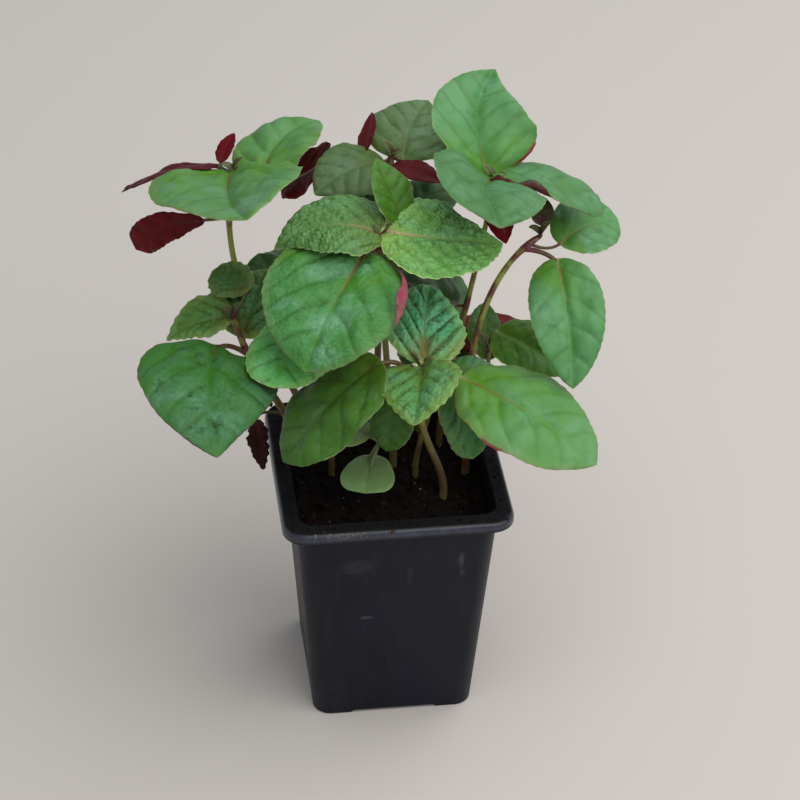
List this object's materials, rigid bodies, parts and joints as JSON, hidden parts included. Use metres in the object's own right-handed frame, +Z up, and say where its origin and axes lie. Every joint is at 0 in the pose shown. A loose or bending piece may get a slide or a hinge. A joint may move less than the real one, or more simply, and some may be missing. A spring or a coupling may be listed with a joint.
{
  "type": "potted korean perilla",
  "caption": "Square tapered nursery pot filled with soil, holding leafy perilla seedlings with broad toothed leaves on slim stems.",
  "frame": {"origin": "centre of the pot's floor, on the plane that the pot stands on", "axes": "+Z up; X and Y along the pot's sides, with -Y the side that faces the picture's camera"},
  "size_m": [0.1936, 0.1519, 0.2365],
  "materials": {
    "pot": "charcoal-black thin moulded nursery plastic, satin, with faint vertical streaks, dust and soil grains on the rim",
    "soil": "damp near-black peat potting mix, crumbly and matte with a few pale flecks",
    "foliage": "soft mid-green leaves with a low bluish sheen, net wrinkles, grooved side veins, reddish thin margins, pink to purple petioles and midribs, and maroon undersides on the young leaves"
  },
  "bodies": {
    "root": {"pot": "pot", "soil": "soil", "centre": "foliage", "front": "foliage", "left": "foliage", "upper_left": "foliage", "top_right": "foliage", "right": "foliage", "back": "foliage", "inner_left": "foliage", "right_mid": "foliage", "low": "foliage", "seedling": "foliage", "back_left": "foliage", "back_right": "foliage"}
  },
  "joints": []
}
